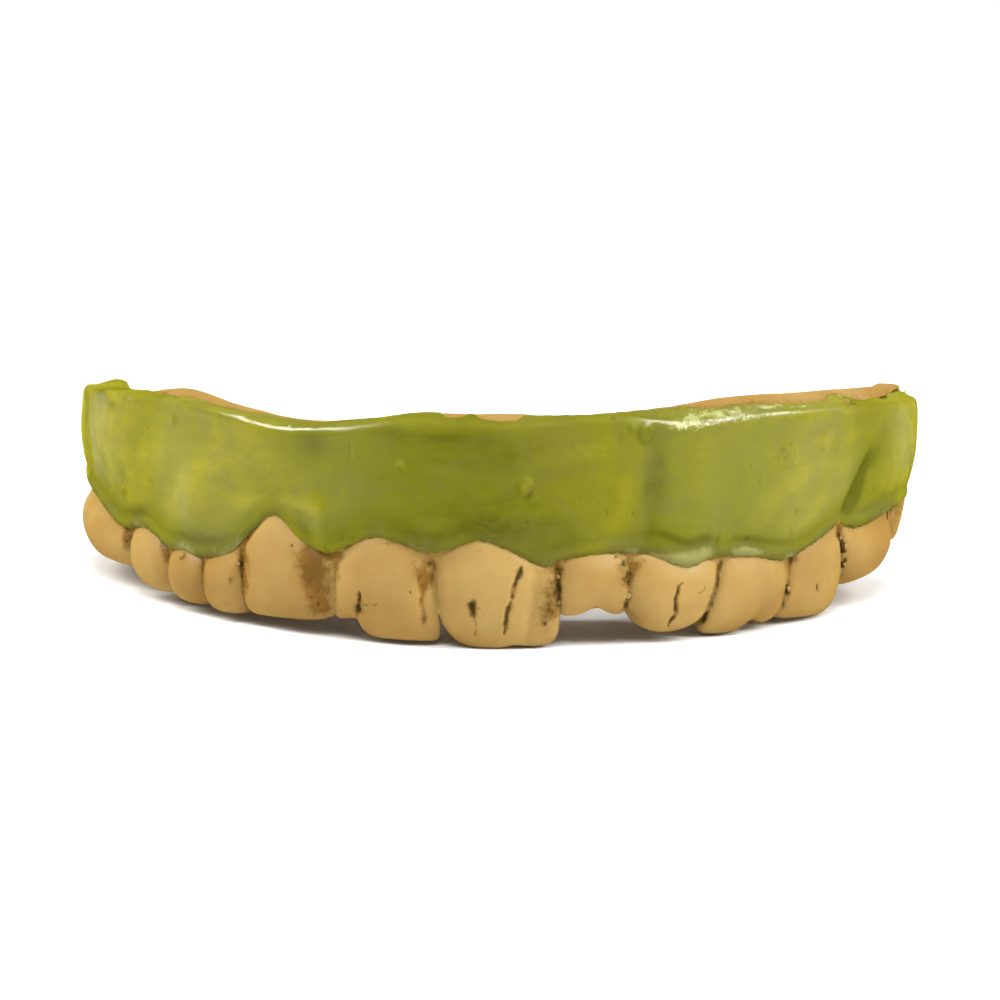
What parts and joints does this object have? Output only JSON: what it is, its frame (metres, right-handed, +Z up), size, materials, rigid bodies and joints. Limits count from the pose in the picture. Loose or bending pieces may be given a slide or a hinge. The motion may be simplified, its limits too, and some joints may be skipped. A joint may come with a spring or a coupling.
{
  "type": "costume teeth",
  "caption": "Upper zombie costume teeth: curved channel tray that fits over the wearer's teeth, crooked stained tan teeth and a thick green gum over the front.",
  "frame": {"origin": "middle of the footprint of the whole set, on the plane that the biting edges stand on", "axes": "+X along the set's width, to the wearer's left; +Y from the front teeth back into the mouth; +Z up, from the biting edges to the gum's rim"},
  "size_m": [0.064, 0.036, 0.0173],
  "materials": {
    "tray_tan": "tan cast acrylic, smooth",
    "gum_green": "thick brushed olive green coat, satin to glossy",
    "tooth_tan": "tan acrylic, waxy, with dark stained grooves"
  },
  "bodies": {
    "root": {"tray": "tray_tan", "gum": "gum_green", "tooth_right_molar": "tooth_tan", "tooth_right_premolar_2": "tooth_tan", "tooth_right_premolar_1": "tooth_tan", "tooth_right_canine": "tooth_tan", "tooth_right_lateral": "tooth_tan", "tooth_right_central": "tooth_tan", "tooth_left_central": "tooth_tan", "tooth_left_lateral": "tooth_tan", "tooth_left_canine": "tooth_tan", "tooth_left_premolar_1": "tooth_tan", "tooth_left_premolar_2": "tooth_tan", "tooth_left_molar": "tooth_tan"}
  },
  "joints": []
}
